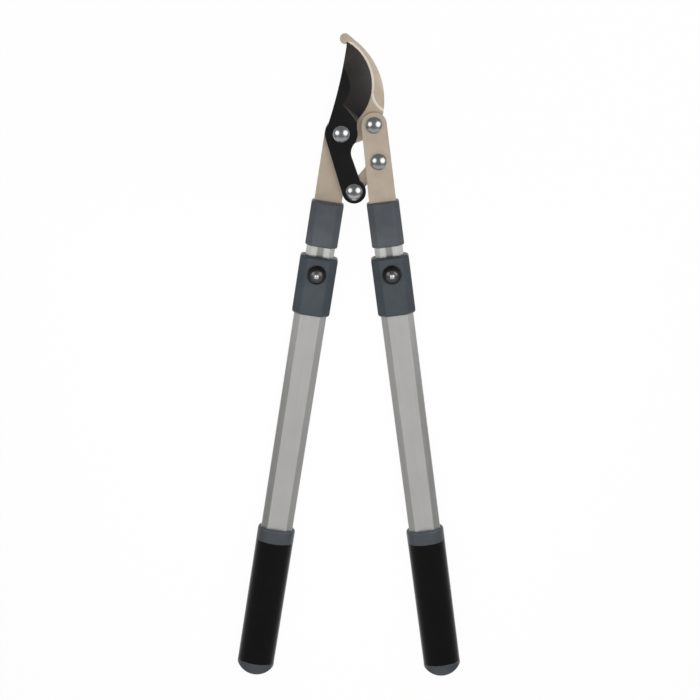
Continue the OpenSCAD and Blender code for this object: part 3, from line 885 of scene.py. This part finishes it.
innerTubeEdge = 0.35
for side in sides:
    softened(side + "_inner_tube", "inner" + side.capitalize(), innerTubeEdge, 2)
    makeTube(side, tubePiece)
    makeSleeve(side, sleevePiece)
    makeCollar(side, collarPiece)
print("tubes, sleeves and collars made")


# grips: an oval of four arcs, a ring at the top, a soft cover, a round cap at the end
gripPiece = {
    "w": 37.8, "d": 26.0, "sideR": 11.5,
    "top": 406.9, "ringEnd": 421.0, "coverEnd": 557.5, "end": 572.7,
    "rim": 2.4, "cover": 1.6, "coverGap": 0.02, "seam": 0.25,
    "seatDepth": 8, "seatRim": 0.6, "pressFit": 0.1,
    "capBall": 21.0, "capShares": (1.0, 0.97, 0.92, 0.84, 0.74, 0.62, 0.48, 0.34, 0.2, 0.08),
}


def oval(w, d, sideR, count=96):
    c = w / 2 - sideR
    crown = (c * c + d * d / 4 - sideR * sideR) / (d - 2 * sideR)
    low = crown - d / 2
    touch = math.atan2(low, c) if c else math.pi / 2
    points = []
    for k in range(count):
        a = 2 * math.pi * (k + 0.5) / count
        x, y = abs(math.cos(a)), abs(math.sin(a))
        if math.atan2(y, x) < touch:
            p = (c + sideR * x, sideR * y)
        else:
            p = (crown * x, crown * y - low)
        points.append((math.copysign(p[0], math.cos(a)), math.copysign(p[1], math.sin(a))))
    return points


def ovalRow(side, look, grow, t):
    shape = oval(look["w"] + 2 * grow, look["d"] + 2 * grow, look["sideR"] + grow)
    return [handlePoint(side, x, t, z) for x, z in shape]


# where the tube's outline lies in the direction of each point of the oval
def seatRow(side, look, t):
    w, d, bw, bd = inset(tubeShape, look["pressFit"])
    bevel = bd * w / 2 + bw * (d / 2 - bd)
    row = []
    for x, z in oval(look["w"], look["d"], look["sideR"]):
        flats = (abs(x) / (w / 2), abs(z) / (d / 2))
        reach = max(*flats, (abs(x) * bd + abs(z) * bw) / bevel)
        row.append(handlePoint(side, x / reach, t, z / reach))
    return row


# the cap's bottom: each point of the oval runs in along a ball to a small flat in the middle
def capRows(side, look):
    ball = look["capBall"]
    centre = look["end"] - ball
    shape = oval(look["w"], look["d"], look["sideR"])
    rows = []
    for share in look["capShares"]:
        row = []
        for x, z in shape:
            reach = math.hypot(x, z) * share
            t = centre + math.sqrt(ball * ball - reach * reach)
            row.append(handlePoint(side, x * share, t, z * share))
        rows.append(row)
    return rows


def makeGrip(side, look):
    seam, cover = look["seam"], look["cover"]
    top, inner, outer = look["top"], look["ringEnd"], look["coverEnd"]
    steps = [(-e, top + a) for e, a in roundedEnd(look["rim"])]
    steps += [(0, inner - seam), (-seam, inner), (-cover, inner)]
    steps += [(-cover, outer), (-seam, outer), (0, outer + seam)]
    rows = [seatRow(side, look, top + t) for t in (look["seatDepth"], look["seatRim"])]
    rows += [ovalRow(side, look, grow, t) for grow, t in steps]
    rows += capRows(side, look)
    bm = bmesh.new()
    skin(bm, rows, capStart=True, capEnd=True)
    addPiece(side + "_grip_core_piece", bm, "ringCapNylonShaded", side + "_grip_core")
    lining = look["coverGap"] - cover
    steps = [(-seam, inner), (0, inner + seam), (0, outer - seam), (-seam, outer)]
    steps += [(lining, outer), (lining, inner)]
    bm = bmesh.new()
    skin(bm, [ovalRow(side, look, grow, t) for grow, t in steps], loop=True)
    addPiece(side + "_grip_cover_piece", bm, "foam", side + "_grip_cover")


for side in sides:
    makeGrip(side, gripPiece)
print("grips made")


# push buttons with a steel pin through the middle; heights are from the handle's middle plane
lockPiece = {
    "at": 136.9, "foot": 12.35, "r": 9.0, "side": 1.5, "rise": 6.5, "edge": 0.3, "domeSteps": 24,
    "cupR": 7.8, "cupTop": 15.5, "lipDrop": 0.47, "lipEdge": 0.1, "lipGap": 0.05,
    "pinR": 2.9, "pinRise": 1.8, "pinSteps": 12, "pinSides": 48,
    "neckR": 2.0, "shoulderR": 3.3, "shoulderTop": 3.15, "shoulderFoot": 0.55,
}


def makeButton(side, look, spot, base):
    pinR, cupR, r, edge = look["pinR"], look["cupR"], look["r"], look["edge"]
    foot = base + look["foot"]
    cupTop = base + look["cupTop"]
    lip = foot + look["side"] + look["rise"] - look["lipDrop"]
    dome = capOutline(r, look["rise"], foot + look["side"], look["domeSteps"])
    outline = [(pinR, cupTop), (cupR, cupTop), (cupR, foot), (r - edge, foot), (r, foot + edge)]
    outline += [p for p in dome if p[0] > pinR + look["lipEdge"]]
    outline += [(pinR + look["lipGap"], lip), (pinR, lip - look["lipEdge"]), (pinR, cupTop)]
    bm = bmesh.new()
    turned(bm, spot, outline)
    bmesh.ops.remove_doubles(bm, verts=bm.verts, dist=0.001 * mm)
    addPiece(side + "_lock_button_piece", bm, "gloss", side + "_lock_button")


def makePin(side, look, spot, base):
    pinR, rise, shoulderR, neckR = look["pinR"], look["pinRise"], look["shoulderR"], look["neckR"]
    cupTop = base + look["cupTop"]
    shoulderFoot, shoulderTop = base + look["shoulderFoot"], base + look["shoulderTop"]
    rim = base + look["foot"] + look["side"] + look["rise"] - rise / 2
    outline = [(0, shoulderFoot), (shoulderR, shoulderFoot), (shoulderR, shoulderTop)]
    outline += [(neckR, shoulderTop), (neckR, cupTop), (pinR, cupTop)]
    outline += capOutline(pinR, rise, rim, look["pinSteps"])
    bm = bmesh.new()
    turned(bm, spot, outline, look["pinSides"])
    addPiece(side + "_lock_pin_piece", bm, "chrome", side + "_lock_pin")


for side in sides:
    centre = handlePoint(side, 0, lockPiece["at"], 0) / mm
    makeButton(side, lockPiece, (centre.x, centre.y), centre.z)
    makePin(side, lockPiece, (centre.x, centre.y), centre.z)

# what stays out of sight keeps its solid and gets its finish
hiddenLook = {"tang_rivets": "zinc", "slide_guide": "blackNylon", "lock_spring": "zinc"}
for side in sides:
    for part, finishName in hiddenLook.items():
        solid = frame["nodes"][side + "_" + part]
        solid.data.materials.clear()
        solid.data.materials.append(finishes[finishName])

# each spring stands on the tube's face; it gets a mesh of its own, and the middle of its box is found
for side in sides:
    low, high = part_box(side + "_lock_spring")
    centre = (low + high) / 2
    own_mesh(frame["nodes"][side + "_lock_spring"])
print("locks made")


# studio: pale floor, two round soft boxes beside the jaw, a low panel over the handles, a wide one
# past the grips, a dim room, and a fill from above that metal doesn't mirror
studio = {
    "floor": 90.0,
    "floorDrop": 0.2 * mm,
    "paper": colour(0.8, 0.8, 0.8),
    "glow": 0.965,
    "room": 0.2,
    "leftBox": {
        "shape": "DISK", "size": (0.52, 0.52), "watts": 1.15,
        "place": (-0.48, 0.08, 0.52), "aim": (0, -0.08, 0),
    },
    "rightBox": {
        "shape": "DISK", "size": (0.64, 0.64), "watts": 1.75,
        "place": (0.5, 0.09, 0.52), "aim": (0.03, -0.08, 0),
    },
    "footBox": {
        "shape": "RECTANGLE", "size": (0.5, 1.0), "watts": 0.82,
        "place": (0.01, -0.55, 0.275), "aim": (0.01, -0.6875, 0),
    },
    "farBox": {
        "shape": "RECTANGLE", "size": (3.2, 1.28), "watts": 4.1,
        "place": (0.03, -1.2, 0.79), "aim": (0.03, 0, 0.79),
    },
    "fill": {
        "shape": "RECTANGLE", "size": (1.0, 1.0), "watts": 6.5,
        "place": (0.0, 0.0, 1.2), "aim": (0.0, 0.0, 0.0),
    },
}


# rays that show the white background: the camera's own, and those by way of metal or glass
def showingRays(finish):
    names = ("Is Camera Ray", "Is Glossy Ray", "Is Transmission Ray")
    direct, mirrored, passed = [finish.add("ShaderNodeLightPath", out=name) for name in names]
    return finish.add("ShaderNodeClamp", {}, {"Value": direct + mirrored + passed})


def addLamp(name, box):
    data = bpy.data.lights.new(name, "AREA")
    data.shape = box["shape"]
    data.size = box["size"][0]
    if box["shape"] == "RECTANGLE":
        data.size_y = box["size"][1]
    data.energy = box["watts"]
    lamp = bpy.data.objects.new(name, data)
    lamp.location = box["place"]
    way = Vector(box["aim"]) - Vector(box["place"])
    lamp.rotation_euler = way.to_track_quat("-Z", "Y").to_euler()
    lamp.visible_camera = False
    scene.collection.objects.link(lamp)
    return lamp


def makeFloor(look):
    bm = bmesh.new()
    bmesh.ops.create_grid(bm, x_segments=1, y_segments=1, size=look["floor"])
    mesh = bpy.data.meshes.new("floor")
    bm.to_mesh(mesh)
    bm.free()
    floor = bpy.data.objects.new("floor", mesh)
    floor.location.z = -look["floorDrop"]
    scene.collection.objects.link(floor)
    material = bpy.data.materials.new("paleFloor")
    material.use_nodes = True
    finish = Finish(material.node_tree)
    paper = finish.add("ShaderNodeBsdfDiffuse", {}, {"Color": look["paper"]})
    white = finish.add("ShaderNodeEmission", {}, {"Color": colour(1, 1, 1), "Strength": 1.0})
    shares = {0: showingRays(finish) * look["glow"], 1: paper, 2: white}
    shown = finish.add("ShaderNodeMixShader", {}, shares)
    finish.add("ShaderNodeOutputMaterial", {}, {"Surface": shown})
    mesh.materials.append(material)


def makeRoom(look):
    world = bpy.data.worlds.new("studioRoom")
    world.use_nodes = True
    scene.world = world
    finish = Finish(world.node_tree)
    dim = {"Color": colour(1, 1, 1), "Strength": look["room"]}
    room = finish.add("ShaderNodeBackground", {}, dim)
    finish.add("ShaderNodeOutputWorld", {}, {"Surface": room})


makeFloor(studio)
for name in ("leftBox", "rightBox", "footBox", "farBox"):
    addLamp(name, studio[name])
addLamp("fill", studio["fill"]).visible_glossy = False
makeRoom(studio)
print("studio lit")
